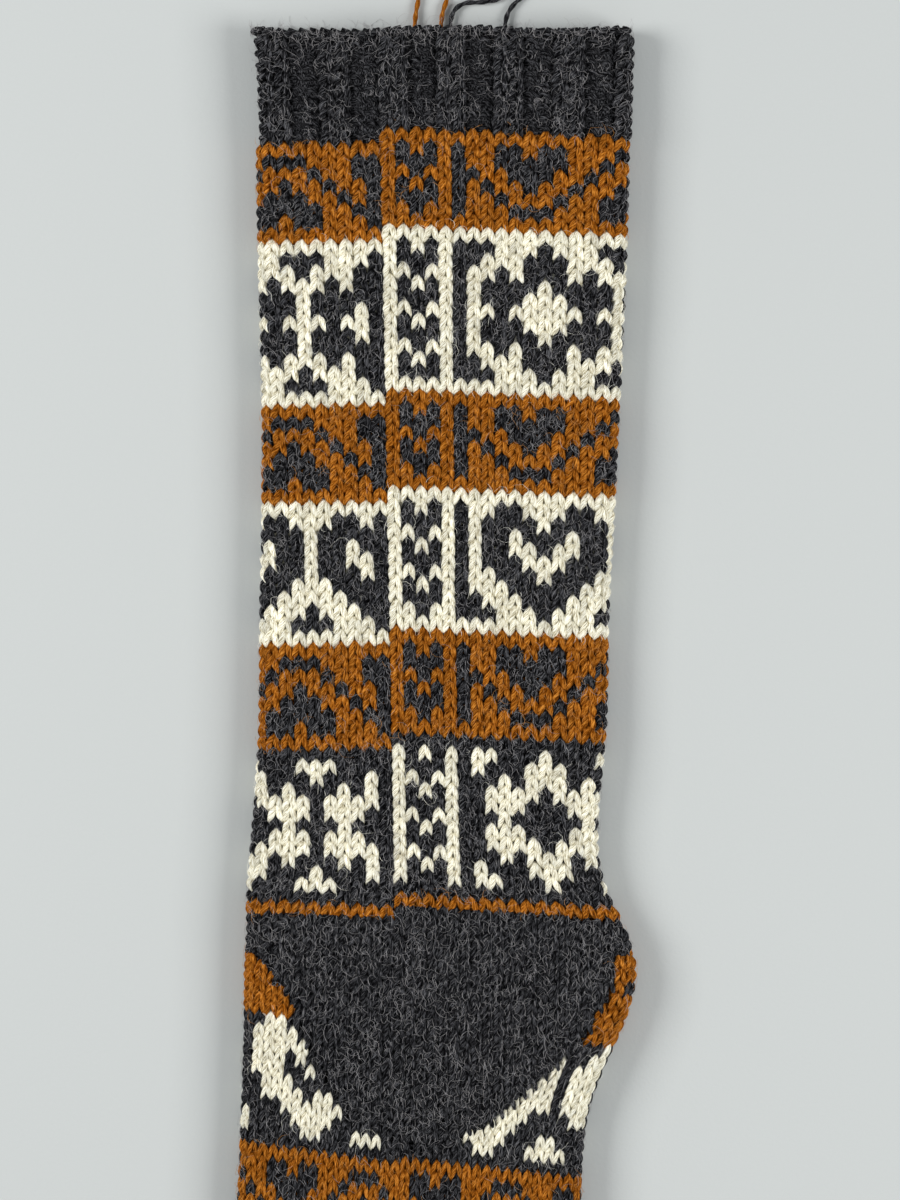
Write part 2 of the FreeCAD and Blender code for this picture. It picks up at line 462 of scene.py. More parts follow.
def quad_object(name, points, quads, material, numbers, strand, mapping):
    """A smooth mesh object of quads, with the attributes that the wool shader reads."""
    mesh = bpy.data.meshes.new(name)
    mesh.vertices.add(len(points))
    mesh.vertices.foreach_set("co", (points * MM).astype(np.float32).reshape(-1))
    mesh.loops.add(quads.size)
    mesh.loops.foreach_set("vertex_index", quads.astype(np.int32).reshape(-1))
    mesh.polygons.add(len(quads))
    mesh.polygons.foreach_set("loop_start", np.arange(0, quads.size, 4, dtype=np.int32))
    mesh.polygons.foreach_set("use_smooth", np.ones(len(quads), dtype=bool))
    mesh.update(calc_edges=True)
    for key, values in numbers.items():
        attribute = mesh.attributes.new(key, "FLOAT", "POINT")
        attribute.data.foreach_set("value", values.astype(np.float32))
    attribute = mesh.attributes.new("strand", "FLOAT_VECTOR", "POINT")
    attribute.data.foreach_set("vector", strand.astype(np.float32).reshape(-1))
    layer = mesh.uv_layers.new(name="OFBake")
    layer.data.foreach_set("uv", mapping.astype(np.float32).reshape(-1))
    mesh.materials.append(material)
    made = bpy.data.objects.new(name, mesh)
    bpy.context.scene.collection.objects.link(made)
    return made


# ---- Free yarn ends -----------------------------------------------------------------
def spline_points(name, route):
    """Points along the smooth line that the route's points control, in mm."""
    curve = bpy.data.curves.new(name, "CURVE")
    curve.dimensions = "3D"
    curve.resolution_u = 12
    spline = curve.splines.new("NURBS")
    spline.points.add(len(route) - 1)
    for point, place in zip(spline.points, route):
        point.co = (*place, 1.0)
    spline.order_u = 3
    spline.use_endpoint_u = True
    holder = bpy.data.objects.new(name, curve)
    bpy.context.scene.collection.objects.link(holder)
    mesh = bpy.data.meshes.new_from_object(holder)
    places = np.array([v.co for v in mesh.vertices], float)
    bpy.data.objects.remove(holder)
    bpy.data.meshes.remove(mesh)
    return places


def resample(line, spacing):
    """The same line with evenly spaced points, and how far along it each is."""
    steps = np.linalg.norm(np.diff(line, axis=0), axis=1)
    travelled = np.concatenate([[0], np.cumsum(steps)])
    wanted = np.linspace(0, travelled[-1], int(travelled[-1] / spacing) + 1)
    axes = [np.interp(wanted, travelled, line[:, axis]) for axis in range(3)]
    return np.stack(axes, axis=-1), wanted


def twisted_yarn(line, travelled, side, up):
    """A two-ply strand round its middle line."""
    sides = 12
    turn = np.arange(sides) / sides * TAU
    twist = travelled / YARN_TWIST * TAU
    radius = YARN / 2 * (0.86 + 0.14 * np.cos(2 * turn[None] - twist[:, None]))
    offset = (
        side[:, None] * np.cos(turn)[None, :, None] + up[:, None] * np.sin(turn)[None, :, None]
    )
    rings = line[:, None] + offset * radius[..., None]
    strand = np.stack(
        np.broadcast_arrays(
            (turn[None] - twist[:, None] / 2) / TAU * 2, travelled[:, None] * 0.6, 3.0
        ),
        axis=-1,
    )
    gathered = Strands()
    gathered.add(rings[None], strand[None], np.zeros(1), 0, (1, 1), (0, 1))
    return gathered


def yarn_fuzz(line, ahead, rng):
    """Short stray fibres along a loose yarn end."""
    hairs = rng.integers(0, len(line), YARN_HAIRS)
    swing = rng.uniform(-1, 1, (YARN_HAIRS, 1, 3)) * (1, 1, 0.35) + (0, 0, 0.35)
    reach = rng.uniform(0.8, 2.2, (YARN_HAIRS, 1, 1))
    run = np.linspace(0, 1, 4)[None, :, None]
    paths = line[hairs][:, None] + (ahead[hairs][:, None] * 0.7 * run + swing * run) * reach
    paths[..., 2] = np.maximum(paths[..., 2], 0.1)
    box = np.array([(1, 0, 0), (0, 0, 1), (-1, 0, 0), (0, 0, -1)]) * HAIR
    rings = paths[:, :, None] + box
    stray = Strands()
    stray.add(rings, np.zeros(rings.shape), np.zeros(YARN_HAIRS), 1, (10, 9), (0, 1))
    return stray


def yarn_end(name, route):
    """A loose end of yarn along its route, and the stray fibres on it."""
    places = [(x + YARN_SHIFT, MOUTH_Y + y, z) for x, y, z in route]
    line, travelled = resample(spline_points(name, places), 0.3)
    ahead = np.gradient(line, axis=0)
    ahead /= np.linalg.norm(ahead, axis=1)[:, None]
    side = np.cross(ahead, (0, 0, 1))
    side /= np.linalg.norm(side, axis=1)[:, None]
    up = np.cross(side, ahead)
    rng = np.random.default_rng(SEED + len(route))
    colour = "rust_wool" if name.startswith("rust") else "charcoal_wool"
    yarn = twisted_yarn(line, travelled, side, up)
    piece = yarn.mesh_object(f"{name}_yarn", MATERIALS[colour])
    fuzz = yarn_fuzz(line, ahead, rng).mesh_object(f"{name}_fuzz", MATERIALS[colour])
    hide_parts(name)
    for part in (piece, fuzz):
        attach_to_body(part, "leg")


# ---- The flattened tube -------------------------------------------------------------
def knitted_nodes():
    """Names of the CAD nodes that are fabric."""
    return [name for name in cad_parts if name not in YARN_ENDS]


def tree_of(names):
    """A search tree over the surfaces of these CAD nodes."""
    points = []
    faces = []
    for name in names:
        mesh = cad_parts[name].data
        first = len(points)
        points.extend(v.co.copy() for v in mesh.vertices)
        faces.extend([first + v for v in face.vertices] for face in mesh.polygons)
    return BVHTree.FromPolygons(points, faces)


def read_sides():
    """y stations, and the x of the sock's left and right side at each, in mm."""
    spacing = 1.5 * MM
    low, high = cad_bounds
    tree = tree_of(knitted_nodes())
    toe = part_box("grafted_toe_seam")[0]
    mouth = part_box("cast_on_edge")[1]
    middle = mouth.z / 2
    stations = []
    for y in np.arange(toe.y + 0.2 * MM, mouth.y, spacing):
        left = tree.ray_cast(Vector((low.x - 0.1, y, middle)), Vector((1, 0, 0)))[0]
        right = tree.ray_cast(Vector((high.x + 0.1, y, middle)), Vector((-1, 0, 0)))[0]
        if left and right:
            stations.append((y / MM, left.x / MM, right.x / MM))
    return np.array(stations).T


SIDE_Y, LEFT_X, RIGHT_X = read_sides()
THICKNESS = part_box("cast_on_edge")[1].z / MM
TOE_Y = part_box("grafted_toe_seam")[0].y / MM
FOLD_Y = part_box("rust_stripe")[0].y / MM
HEEL_TREE = tree_of(["heel_cup"])
HEEL_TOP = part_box("heel_cup")[1].y / MM - 0.5  # just inside its upper edge


def roundness(y):
    """Radius of the side folds, in the middle of the knitting: the toe thins out."""
    full = THICKNESS / 2 - SKIN
    return np.interp(y, (TOE_Y, TOE_Y + 5, TOE_Y + 22), (0.9, 2.2, full))


def section(y):
    """Left end of the flat upper run, its width, the fold radius and the girth at y."""
    radius = roundness(y)
    left = np.interp(y, SIDE_Y, LEFT_X) + SKIN
    right = np.interp(y, SIDE_Y, RIGHT_X) - SKIN
    flat = np.maximum(right - left - 2 * radius, 0.5)
    return left + radius, flat, radius, 2 * flat + TAU * radius


def around(travel, y, out):
    """Place of a point that far clockwise round from the flat upper run's left end."""
    start, flat, radius, girth = section(y)
    travel = np.mod(travel, girth)
    half = flat + math.pi * radius
    below = travel >= half
    step = np.where(below, travel - half, travel)
    bend = np.clip(step - flat, 0, None) / radius
    run = np.minimum(step, flat)
    across = run + (radius + out) * np.sin(bend)
    height = np.where(bend > 0, (radius + out) * np.cos(bend), radius + out)
    x = np.where(below, start + flat - across, start + across)
    z = radius + SKIN + np.where(below, -height, height)
    ease = np.clip(height / (radius + SKIN), 0, 1) * ~below
    z = np.maximum(z + ease * settle(x, y), 0)
    return np.stack([x, y + np.zeros_like(x), z], axis=-1)


def settle(x, y):
    """Gentle rise and fall of the upper layer of fabric, in two sizes of wave."""
    broad = 0.35 * np.sin(x / 9 + y / 31) * np.cos(y / 17 - x / 43)
    fine = 0.2 * np.sin(y / 7 + x / 5)
    return broad + fine


# Row lines of the leg run on a helix: they drop towards the right, and step down by
# about one row between the first and the last column of a round.
DROP_COLUMNS = (-26, -9, -0.5, -0.49, 16, 25)
UPPER_DROP = (3.75, 4.6, 4.1, 0.0, 2.75, 3.7)
LOWER_DROP = (4.4, 1.8, 3.6, 0.0, 4.3, 4.4)
LEAD = 3.6                # how far column 0 lies above the round's mean line
HEEL_LEAD = 0.8           # the same at the heel line
LOWER_LEG = 45.0          # height over which LOWER_DROP turns into UPPER_DROP
LEVEL_FROM = 31.0         # how far below the cast-on edge the lines begin to level out
LEVEL_OVER = 28.0         # and the height that this takes
# The chain panel's left line, as x at the origin and lean, and how its columns spread.
PANEL_X = -8.46
PANEL_LEAN = -0.0178
SPREAD_COLUMNS = (-27, 0, 9, 26)
SPREAD = (-27, 0, 8.6, 26)
# Where the upper side's cast-on edge sags, as (x, depth), and how wide.
MOUTH_SAGS = ((-28, 2.2), (32, 0.9))
SAG_WIDTH = 13.0
SAG_REACH = 26.0          # how far below the edge the sags fade out


def leg_line(y, column):
    """Height of the row line whose mean is y, at a column."""
    low = np.interp(column, DROP_COLUMNS, LOWER_DROP)
    high = np.interp(column, DROP_COLUMNS, UPPER_DROP)
    share = np.clip((y - FOLD_Y) / LOWER_LEG, 0, 1)
    lead = HEEL_LEAD + (LEAD - HEEL_LEAD) * share
    helix = y + lead - (low + (high - low) * share)
    near_mouth = np.clip((y - (MOUTH_Y - LEVEL_FROM)) / LEVEL_OVER, 0, 1)
    return helix + (y - helix) * near_mouth


def leg_place(column, y, out):
    """Place on the leg: column 0 is the left line of the chain panel."""
    start, _, _, girth = section(y)
    panel = PANEL_X + PANEL_LEAN * y
    spread = np.interp(column, SPREAD_COLUMNS, SPREAD)
    spots = around(panel - start + spread * girth / LEG_STITCHES, y, out)
    near_mouth = np.clip((spots[..., 1] - MOUTH_Y) / SAG_REACH + 1, 0, 1) ** 2
    spots[..., 1] -= near_mouth * mouth_sag(spots[..., 0]) * (spots[..., 2] > THICKNESS / 2)
    return spots


def mouth_sag(x):
    """How far the upper side's cast-on edge sags between the corners and the middle."""
    return sum(depth * np.exp(-(((x - at) / SAG_WIDTH) ** 2)) for at, depth in MOUTH_SAGS)


# The foot's row lines drop too, with a small step in the middle of its upper side.
FOOT_DROP_COLUMNS = (-1, 0, 16.6, 16.61, 35, 70)
FOOT_DROP = (0.3, 0, 6.5, 4.9, 10.3, 0.2)
FOOT_LEAD = 4.5           # how far column 0 lies above the round's mean line
FOOT_LEVEL = 60.0         # distance from the toe over which the lines level out


def foot_line(y, column):
    """Height of the foot's row line whose mean is y: it slopes down to the right."""
    drop = np.interp(column, FOOT_DROP_COLUMNS, FOOT_DROP)
    level = np.clip((y - TOE_Y) / FOOT_LEVEL, 0, 1)
    return y + (FOOT_LEAD - drop) * level


def foot_place(column, y, out):
    """Place on the foot: column 0 is the left fold."""
    _, _, radius, girth = section(y)
    return around(column * girth / FOOT_STITCHES - math.pi / 2 * radius, y, out)


# ---- Stitch shapes ------------------------------------------------------------------
RINGS = 9                 # rings along a strand
SIDES = 8                 # points round it
STRAND_WIDE = 0.245       # half the width of a strand, in widths of a column
STRAND_THICK = 0.27       # half its thickness, the same way
THICKEST = SKIN * 0.9     # half its thickness at most, in mm
PLY_LOBE = 0.06           # how far the two plies stand proud
PLY_TURNS = 1.8           # turns of the plies along a strand


def arch():
    """How far along a strand each ring is, and how far up an arch, both from 0 to 1."""
    t = np.linspace(0, 1, RINGS)
    return t, np.sin(math.pi * t)


def knit_leg(side):
    """One leg of a knit stitch: across in columns, along in rows, height and radii."""
    t, belly = arch()
    smooth = t * t * (3 - 2 * t)
    across = side * (0.05 + 0.38 * smooth)
    along = 0.84 - 1.68 * t
    height = -0.9 + 1.15 * belly ** 0.8
    width = 0.34 + 0.66 * belly ** 0.75
    return across, along, height, width


def purl_bump():
    """The bar of a purl stitch, arched across its column."""
    t, belly = arch()
    return 1.1 * (t - 0.5), 0.35 * belly - 0.2, -0.7 + 0.75 * belly, 0.6 + 0.3 * belly


def edge_loop():
    """A loop of the cast-on edge, slanted like the lay of a rope."""
    t, belly = arch()
    return 0.95 * (t - 0.5), 0.7 * (t - 0.5), -1.0 + 1.0 * belly, 0.55 + 0.35 * belly


def lay_strands(gathered, place, columns, y, pitch, width, shape, rng, lift, cells, band,
                shade=0.0):
    """Adds one strand of this shape at every (column, y). pitch is the height of a row
    and width that of a column, in mm. Every strand differs a little from the next."""
    across, along, height, thick = shape
    number = len(columns)
    t = np.linspace(0, 1, RINGS)
    turn = (np.arange(SIDES) / SIDES - 0.25) * TAU
    slide = rng.normal(0, 0.025, (number, 1, 1))
    sink = rng.normal(0, 0.07, (number, 1, 1))
    grow = rng.normal(1, 0.045, (number, 1, 1))
    lean = rng.normal(0, 0.035, (number, 1, 1))
    seed = rng.uniform(0, 60, (number, 1, 1))
    start_turn = rng.uniform(0, TAU, (number, 1, 1))
    # Random tone of each strand, moved by shade: the painted shade that darkens purl bumps
    # lying back in the grooves.
    tone = np.clip(rng.normal(shade, 0.42, number), -1, 1)

    slope_x = np.gradient(across) * width
    slope_y = np.gradient(along) * pitch
    size = np.hypot(slope_x, slope_y)
    normal_x = (-slope_y / size)[None, :, None]
    normal_y = (slope_x / size)[None, :, None]
    radius_flat = STRAND_WIDE * width * thick[None, :, None] * grow
    tallest = min(STRAND_THICK * width, THICKEST)
    radius_up = tallest * thick[None, :, None] * grow
    plies = 2 * turn[None, None] - TAU * PLY_TURNS * t[None, :, None] - start_turn
    lobes = 1 + PLY_LOBE * np.cos(plies)
    flat = radius_flat * np.cos(turn)[None, None] * lobes
    up = radius_up * np.sin(turn)[None, None] * lobes

    wander = across[None, :, None] * (1 + lean) + lean * along[None, :, None]
    column = columns[:, None, None] + slide + wander + normal_x * flat / width
    level = y[:, None, None] + along[None, :, None] * pitch + sink + normal_y * flat
    out = height[None, :, None] * tallest + up
    deepest = -2.6
    rings = place(column, level, np.clip(out + lift, deepest, None))

    length = t * 1.7 * pitch
    strand = np.stack(
        np.broadcast_arrays(
            turn[None, None] / TAU * 2 - 1.2 * t[None, :, None] + seed,
            length[None, :, None] + seed * 3,
            seed,
        ),
        axis=-1,
    )
    gathered.add(rings, strand, tone, 0, cells, band)


def lay_hairs(gathered, place, columns, y, width, each, rng, band, lift=0.0):
    """Adds stray fibres just above the stitches at (column, y). Most run along a
    stitch's leg, and the loose ones are longer and curl across."""
    number = int(len(columns) * each * min(width / HAIRY_WIDTH, 1.0) ** 3)
    if number == 0:
        return
    chosen = rng.integers(0, len(columns), number)
    upright = rng.choice([-1.0, 1.0], (number, 1)) * math.pi / 2
    heading = upright + rng.normal(0, 0.5, (number, 1))
    bend = rng.normal(0, 0.6, (number, 1))
    reach = rng.uniform(0.8, 2.8, (number, 1))
    loose = rng.random((number, 1)) < LOOSE_SHARE
    heading = np.where(loose, heading * 3, heading)
    bend = np.where(loose, bend * 3, bend)
    reach = np.where(loose, reach * 1.6, reach)
    t = np.linspace(0, 1, 5)[None]
    angle = heading + bend * t
    crest = 0.26
    crown = rng.choice([-crest, crest], (number, 1)) + rng.normal(0, 0.1, (number, 1))
    across = crown * width + reach * t * np.cos(angle)
    along = rng.uniform(-1.8, 1.8, (number, 1)) + reach * t * np.sin(angle)
    rise = rng.uniform(0.1, 0.75, (number, 1)) + 0.25 * loose
    out = SKIN * 0.62 + rise * np.sin(math.pi * t * 0.8) + rng.normal(0, 0.1, (number, 1))
    out = out + np.broadcast_to(lift, len(columns))[chosen][:, None]
    core = place(columns[chosen][:, None] + across / width, y[chosen][:, None] + along, out)
    thin = HAIR * np.array([1.0, 1.0, 0.9, 0.75, 0.35])[None, :, None, None]
    box = np.array([(1, 0.3, 0), (-0.3, 0.7, 0.7), (-1, -0.3, 0), (0.3, -0.7, -0.7)])
    rings = core[:, :, None] + box[None, None] * thin
    rings[..., 2] = np.maximum(rings[..., 2], 0.02)
    strand = np.zeros(rings.shape)
    side = math.ceil(math.sqrt(number))
    gathered.add(rings, strand, rng.uniform(-1, 1, number), 1, (side, side), band)


def knit_piece(name, colour, place, columns, y, pitch, width, lift, rng, purl=None):
    """A mesh of stitches of one colour: knit stitches, and purl bumps where purl is set."""
    gathered = Strands()
    purl = np.zeros(len(columns), bool) if purl is None else purl
    knit = ~purl
    # Purl bumps lie back in the grooves, and their colour is darkened there as painted shade.
    shapes = [(knit, knit_leg(-1), 0.0), (knit, knit_leg(1), 0.0)]
    if purl.any():
        shapes.append((purl, purl_bump(), PURL_PAINTED_SHADE))
    side = math.ceil(math.sqrt(len(columns)))
    for layer, (mask, shape, shade) in enumerate(shapes):
        band = (SHAPE_BAND * layer, SHAPE_BAND * (layer + 1))
        raised = lift[mask][:, None, None]
        lay_strands(
            gathered, place, columns[mask], y[mask], pitch, width, shape, rng, raised,
            (side, side), band, shade,
        )
    sunk = lift - PURL_DEPTH * purl
    fuzzy = knit | (rng.random(len(columns)) < PURL_FUZZ)
    lay_hairs(
        gathered, place, columns[fuzzy], y[fuzzy], width, HAIRS_EACH[colour], rng,
        HAIR_BAND, sunk[fuzzy],
    )
    return gathered.mesh_object(name, MATERIALS[WOOL_OF[colour]])


# ---- Colour of each stitch ----------------------------------------------------------
def mirrored(half):
    """A chart that is the same upwards and downwards about its last row."""
    return half + half[-2::-1]


def panel_letter(column, row, last, main):
    """Colour in the chain panel and its two lines, or None outside it."""
    if column in (0, 4):
        return main
    if column in (5, -1):
        return "d"
    if not 1 <= column <= 3:
        return None
    if row in (0, last):
        return main
    return CHAIN_ROWS[(row - 1) % 3][column - 1].replace("B", main)


def leg_letter(chart, phase, main, column, row):
    """Colour of a stitch of the leg."""
    last = len(chart) - 1
    inked = "C" if main == "d" else main
    letter = panel_letter(column, row, last, inked)
    if letter:
        return letter if 0 < row < last else main
    pattern = chart[row]
    return pattern[(column % LEG_STITCHES - phase) % len(pattern)]


def instep_letter(column, row):
    """Colour of a stitch in the charcoal part of the instep."""
    upper_side = LEFT_GUSSET[row] + RIGHT_GUSSET[row]
    if column < len(upper_side):
        return upper_side[column].replace(".", "d")
    return mirrored(HALF_FLOWER_ON_CHARCOAL)[row + 1][column % 10]


def gusset_letter(column, row):
    """Colour of a stitch in the rust part of the instep."""
    dash_columns, dash_row = RUST_DASH
    if column in dash_columns and row == dash_row:
        return "d"
    if column < PLAIN_COLUMNS or column == FOOT_STITCHES - 1:
        return "R"
    return HEARTS_ON_RUST[row % 8][column % 14]


# ---- Bands --------------------------------------------------------------------------
def in_heel(x, y):
    """Whether the heel cup lies over this place of the upper layer."""
    return HEEL_TREE.ray_cast(Vector((x * MM, y * MM, 1)), Vector((0, 0, -1)))[0] is not None


def attach(piece, node, mover):
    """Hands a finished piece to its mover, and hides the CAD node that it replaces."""
    mover(piece)
    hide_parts(node)


def with_leg(piece):
    """Lets the piece move with the leg."""
    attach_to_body(piece, "leg")


def with_foot(piece):
    """Lets the piece move with the foot."""
    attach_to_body(piece, "foot")


def over_fold(piece):
    """For pieces where the foot folds up over the leg: bakes the piece's placement into its
    mesh, and gives it no body.
    """
    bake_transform(piece)


def knit_band(node, place, columns, line_above, line_below, rows, letter_of, mover, main,
              lift_of=None, purl_of=None, hide=None):
    """Knits one node: its stitches colour by colour, and the floats behind them.

    The lines give the height of the node's upper and lower edge at each column, and
    letter_of gives each stitch's colour. lift_of and purl_of shape the ribs of the cuff,
    and hide leaves out the places that another node covers.
    """
    rng = np.random.default_rng(SEED + sum(ord(c) for c in node))
    columns = np.asarray(columns)
    top = line_above(columns)
    bottom = line_below(columns)
    grid_c, grid_r = np.meshgrid(columns, np.arange(rows), indexing="ij")
    y = top[:, None] + (bottom - top)[:, None] * (grid_r + 0.5) / rows
    letters = np.array([[letter_of(int(c), r) for r in range(rows)] for c in columns])
    pitch = float(np.mean(top - bottom)) / rows
    girth = section(float(np.mean(y)))[3]
    width = girth / len(columns)
    lift = np.zeros(grid_c.shape) if lift_of is None else lift_of(grid_c)
    purl = np.zeros(grid_c.shape, bool) if purl_of is None else purl_of(grid_c)
    shown = np.ones(grid_c.shape, bool)
    if hide is not None:
        spots = place(grid_c, y, np.zeros(y.shape))
        shown = ~hide(spots)
    for colour in sorted(set(letters.ravel())):
        mask = (letters == colour) & shown
        if not mask.any():
            continue
        piece = knit_piece(
            f"{node}_{COLOUR_NAME[colour]}", colour, place, grid_c[mask].astype(float), y[mask],
            pitch, width, lift[mask], rng, purl[mask],
        )
        attach(piece, node, mover)
    edge_columns = np.linspace(columns[0], columns[0] + len(columns), 2 * len(columns) + 1)
    count = max(int((max(top) - min(bottom)) / FLOAT_ROW), 2)
    levels = np.linspace(0, 1, count)
    line_columns = np.clip(edge_columns, None, columns[-1])
    back_top = line_above(line_columns)
    back_bottom = line_below(line_columns)
    back_rows = back_top[:, None] + (back_bottom - back_top)[:, None] * levels[None]
    attach(
        backing_grid(f"{node}_floats", main, place, edge_columns, back_rows, hide),
        node, mover,
    )


def backing_grid(name, colour, place, columns, rows, hide):
    """A thin closed layer of floats. rows are the heights of its points at each column."""
    grid_c = np.broadcast_to(np.asarray(columns)[:, None], rows.shape)
    outer, inner = [place(grid_c, rows, np.full(rows.shape, out)) for out in FLOATS]
    count_c, count_y = rows.shape
    index = np.arange(count_c * count_y).reshape(count_c, count_y)
    corners = np.stack([index[:-1, :-1], index[1:, :-1], index[1:, 1:], index[:-1, 1:]], -1)
    corners = corners.reshape(-1, 4)
    if hide is not None:
        spots = outer.reshape(-1, 3)[corners].mean(axis=1)
        corners = corners[~hide(spots)]
    back = corners[:, ::-1] + index.size
    edges = {tuple(e) for i in range(4) for e in corners[:, [i, (i + 1) % 4]].tolist()}
    rims = [(b, a, a + index.size, b + index.size) for a, b in edges if (b, a) not in edges]
    quads = np.concatenate([corners, back, np.array(sorted(rims))])
    points = np.concatenate([outer.reshape(-1, 3), inner.reshape(-1, 3)])
    used, quads = np.unique(quads, return_inverse=True)
    quads = quads.reshape(-1, 4)
    points = points[used]
    zeros = np.zeros(len(points))
    cells = 97
    mapping = np.stack([quads % cells, quads // cells % cells], -1).reshape(-1, 2) / cells
    # The floats show only in the gaps between stitches: their tone of -0.8 darkens them as
    # painted shade in those gaps.
    return quad_object(
        name, points, quads, MATERIALS[WOOL_OF[colour]],
        {"tone": zeros - 0.8, "fuzz": zeros}, points * (0.4, 2.4, 0.4), mapping,
    )


def top_of(node):
    """Height of a CAD node's upper edge along the sock."""
    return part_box(node)[1].y / MM


LEG_COLUMNS = np.arange(-26, 26)
FOOT_COLUMNS = np.arange(0, FOOT_STITCHES)


def leg_band(node, below, chart, phase, main):
    """A patterned band of the leg, down to the node below it."""
    knit_band(
        node, leg_place, LEG_COLUMNS,
        lambda c: leg_line(top_of(node), c),
        lambda c: leg_line(top_of(below), c),
        len(chart),
        lambda c, r: leg_letter(chart, phase, main, c, r),
        with_leg, main,
    )


def stripe_bottom(column):
    """Lower line of the rust stripe, where the heel and the instep begin."""
    return leg_line(top_of("rust_stripe"), column) - STRIPE_ROW


def knit_leg_bands():
    """Every section of the leg below the cuff."""
    leg_band("rust_heart_band_upper", "cream_flower_band", HEARTS_ON_RUST, 3, "R")
    leg_band(
        "cream_flower_band", "rust_heart_band_middle", mirrored(HALF_FLOWER_ON_CREAM), 6, "C"
    )
    leg_band("rust_heart_band_middle", "cream_heart_band", HEARTS_ON_RUST, 3, "R")
    leg_band("cream_heart_band", "rust_heart_band_lower", HEARTS_ON_CREAM, 6, "C")
    leg_band("rust_heart_band_lower", "charcoal_flower_band", HEARTS_ON_RUST, 3, "R")
    leg_band(
        "charcoal_flower_band", "rust_stripe", mirrored(HALF_FLOWER_ON_CHARCOAL), 6, "d"
    )
    knit_band(
        "rust_stripe", leg_place, LEG_COLUMNS,
        lambda c: leg_line(top_of("rust_stripe"), c),
        stripe_bottom, 1, lambda c, r: "R", with_leg, "R",
    )


def knit_cuff():
    """The two-by-two rib, and the cast-on edge above it."""
    def is_purl(column):
        """Two knit columns, then two purl columns."""
        return (column % 4) >= 2

    knit_band(
        "ribbed_cuff", leg_place, LEG_COLUMNS,
        lambda c: np.full(len(c), top_of("ribbed_cuff")),
        lambda c: leg_line(top_of("rust_heart_band_upper"), c),
        CUFF_ROWS, lambda c, r: "d", with_leg, "d",
        lift_of=lambda c: np.where(is_purl(c), -GROOVE, RIDGE), purl_of=is_purl,
    )
    rng = np.random.default_rng(SEED)
    gathered = Strands()
    columns = np.arange(-26, 26, 0.7)
    loop_height = 2.6
    y = np.full(len(columns), MOUTH_Y - 1.0)
    width = section(MOUTH_Y)[3] / LEG_STITCHES
    lay_strands(
        gathered, leg_place, columns, y, loop_height, width, edge_loop(), rng,
        np.zeros((len(columns), 1, 1)), (9, 9), (0, HAIR_BAND[0]),
    )
    lay_hairs(gathered, leg_place, columns, y, width, EDGE_HAIRS, rng, HAIR_BAND)
    edge = gathered.mesh_object("cast_on_edge_loops", MATERIALS["charcoal_wool"])
    attach(edge, "cast_on_edge", with_leg)
    ring = np.linspace(-26, 26, 2 * LEG_STITCHES + 1)
    levels = np.linspace(MOUTH_Y - 1.1, MOUTH_Y - loop_height, 3)
    rows = np.broadcast_to(levels[None], (len(ring), len(levels)))
    rim = backing_grid("cast_on_edge_floats", "d", leg_place, ring, rows, None)
    attach(rim, "cast_on_edge", with_leg)


def heel_hides(spots):
    """Which of these places the heel cup covers."""
    lowest = THICKNESS / 2 - 1
    found = [z > lowest and in_heel(x, min(y, HEEL_TOP)) for x, y, z in spots.reshape(-1, 3)]
    return np.array(found).reshape(spots.shape[:-1])


def fold_line(columns):
    """Where the foot's columns begin under the rust stripe, both sides of the sock."""
    below = stripe_bottom(LEG_COLUMNS)
    leg_spots = leg_place(LEG_COLUMNS.astype(float), below, np.zeros(len(below)))
    flat = np.zeros(len(columns))
    foot_spots = foot_place(columns.astype(float), flat + FOLD_Y, flat)
    gaps = np.linalg.norm(foot_spots[:, None, ::2] - leg_spots[None, :, ::2], axis=-1)
    return below[np.argmin(gaps, axis=1)]


def knit_instep():
    """The rust and the charcoal part of the instep, which show beside the heel."""
    knit_band(
        "instep_rust_band", foot_place, FOOT_COLUMNS, fold_line,
        lambda c: foot_line(top_of("instep_charcoal_band"), c),
        UPPER_GUSSET_ROWS, gusset_letter, over_fold, "R", hide=heel_hides,
    )
    knit_band(
        "instep_charcoal_band", foot_place, FOOT_COLUMNS,
        lambda c: foot_line(top_of("instep_charcoal_band"), c),
        lambda c: foot_line(top_of("foot_rust_heart_band"), c),
        len(LEFT_GUSSET), instep_letter, over_fold, "d", hide=heel_hides,
    )


def heel_place(column, y, out):
    """Place on the heel cup: columns of even width from the sock's middle, domed."""
    spots = around(column * HEEL_COLUMN - section(y)[0], y, out)
    low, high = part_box("heel_cup")
    reach = (high.x - low.x) / 2 / MM
    across = np.clip(1 - ((spots[..., 0] - HEEL_MIDDLE) / reach) ** 2, 0, 1)
    rise = np.clip((high.y / MM + 2 - y) / DOME_RISE, 0, 1)
    fall = np.clip((y - low.y / MM + 4) / DOME_FALL, 0, 1)
    dome = HEEL_DOME * np.sqrt(across * (rise * fall))
    spots[..., 2] += dome * (spots[..., 2] > THICKNESS / 2)
    return spots


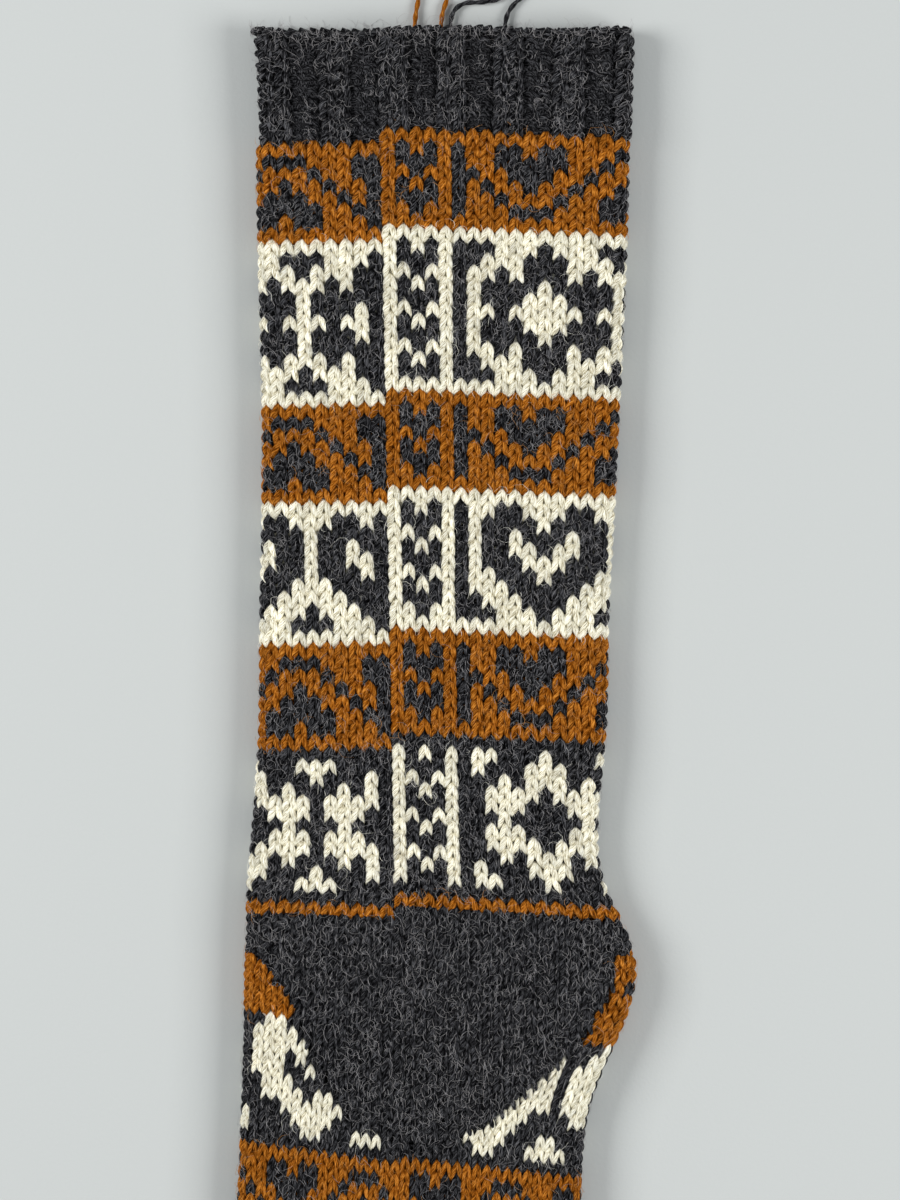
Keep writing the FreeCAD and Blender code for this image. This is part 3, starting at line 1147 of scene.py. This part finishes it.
def knit_heel():
    """The heel cup in finer plain stitches, inside the outline of its CAD node."""
    low, high = (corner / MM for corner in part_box("heel_cup"))
    rng = np.random.default_rng(SEED + 7)
    columns = []
    levels = []
    leg = np.arange(-12, 20)  # the leg's columns on its upper side
    line = leg_place(leg.astype(float), stripe_bottom(leg), np.zeros(len(leg)))
    for column in range(int(low.x / HEEL_COLUMN) - 2, int(high.x / HEEL_COLUMN) + 4):
        x = column * HEEL_COLUMN
        y = np.interp(x, line[:, 0], line[:, 1]) - HEEL_ROW * 0.3
        while y > low.y - HEEL_ROW:
            spot = heel_place(np.array([float(column)]), np.array([y]), np.zeros(1))[0]
            if in_heel(spot[0], min(y, HEEL_TOP)) and spot[2] > THICKNESS / 2:
                columns.append(float(column))
                levels.append(y)
            y -= HEEL_ROW
    columns = np.array(columns)
    levels = np.array(levels)
    piece = knit_piece(
        "heel_cup_stitches", "d", heel_place, columns, levels, HEEL_ROW, HEEL_COLUMN,
        np.zeros(len(columns)), rng,
    )
    attach(piece, "heel_cup", over_fold)
    ring = np.arange(columns.min() - 1, columns.max() + 2, 0.5)
    tops = np.interp(ring * HEEL_COLUMN, line[:, 0], line[:, 1])
    rows = tops[:, None] + (low.y - tops)[:, None] * np.linspace(0, 1, 40)[None]
    floats = backing_grid(
        "heel_cup_floats", "d", heel_place, ring, rows, lambda spots: ~heel_hides(spots)
    )
    attach(floats, "heel_cup", over_fold)


def foot_band(node, below, chart, phase, main):
    """A patterned band of the foot, down to the node below it."""
    knit_band(
        node, foot_place, FOOT_COLUMNS,
        lambda c: foot_line(top_of(node), c),
        lambda c: foot_line(top_of(below), c),
        len(chart),
        lambda c, r: chart[r][(c - phase) % len(chart[r])],
        with_foot, main,
    )


def toe_place(column, y, out):
    """Place on the toe, which stops short of the CAD node's end."""
    return foot_place(column, np.maximum(y, TOE_Y + TOE_STOP), out)


def knit_toe_part(node, upper, lower):
    """Rounds of the toe with fewer and fewer stitches, and the layer behind them."""
    rng = np.random.default_rng(SEED + len(node))
    columns = []
    levels = []
    count = max(round((upper - lower) / TOE_ROW), 1)
    for step in range(count):
        share = (step + 0.5) / count
        mean = upper + (lower - upper) * share
        stitches = max(int(section(mean)[3] / TOE_COLUMN), 8)
        spread = (np.arange(stitches) + 0.5) / stitches * FOOT_STITCHES
        columns.append(spread)
        levels.append(foot_line(np.full(stitches, mean), spread))
    columns = np.concatenate(columns)
    levels = np.concatenate(levels)
    width = section(upper)[3] / FOOT_STITCHES
    piece = knit_piece(
        f"{node}_stitches", "d", toe_place, columns, levels, TOE_ROW, width,
        np.zeros(len(columns)), rng,
    )
    attach(piece, node, with_foot)
    ring = np.linspace(0, FOOT_STITCHES, 2 * FOOT_STITCHES + 1)
    levels = np.linspace(upper, max(lower, TOE_Y + TOE_STOP), count * 2 + 1)
    rows = np.stack([foot_line(np.full(len(ring), level), ring) for level in levels], 1)
    floats = backing_grid(f"{node}_floats", "d", toe_place, ring, rows, None)
    attach(floats, node, with_foot)


def knit_toe():
    """The toe cap and the grafted seam."""
    seam_top = top_of("grafted_toe_seam")
    knit_toe_part("toe_cap", top_of("toe_cap"), seam_top)
    knit_toe_part("grafted_toe_seam", seam_top, TOE_Y + 0.4)


def knit_foot():
    """Every section of the foot below the instep."""
    foot_band("foot_rust_heart_band", "foot_cream_flower_band", HEARTS_ON_RUST, -1, "R")
    foot_band(
        "foot_cream_flower_band", "foot_rust_stripe_band",
        mirrored(HALF_FLOWER_ON_CREAM), 6, "C",
    )
    foot_band("foot_rust_stripe_band", "foot_charcoal_band", HEARTS_ON_RUST, -1, "R")
    foot_band("foot_charcoal_band", "toe_cap", ["d"] * 9, 0, "d")


# ---- Build --------------------------------------------------------------------------
add_camera()
for end_name, end_route in YARN_ENDS.items():
    yarn_end(end_name, end_route)
add_studio()
knit_cuff()
knit_leg_bands()
knit_instep()
knit_heel()
knit_foot()
knit_toe()

bpy.context.view_layer.update()
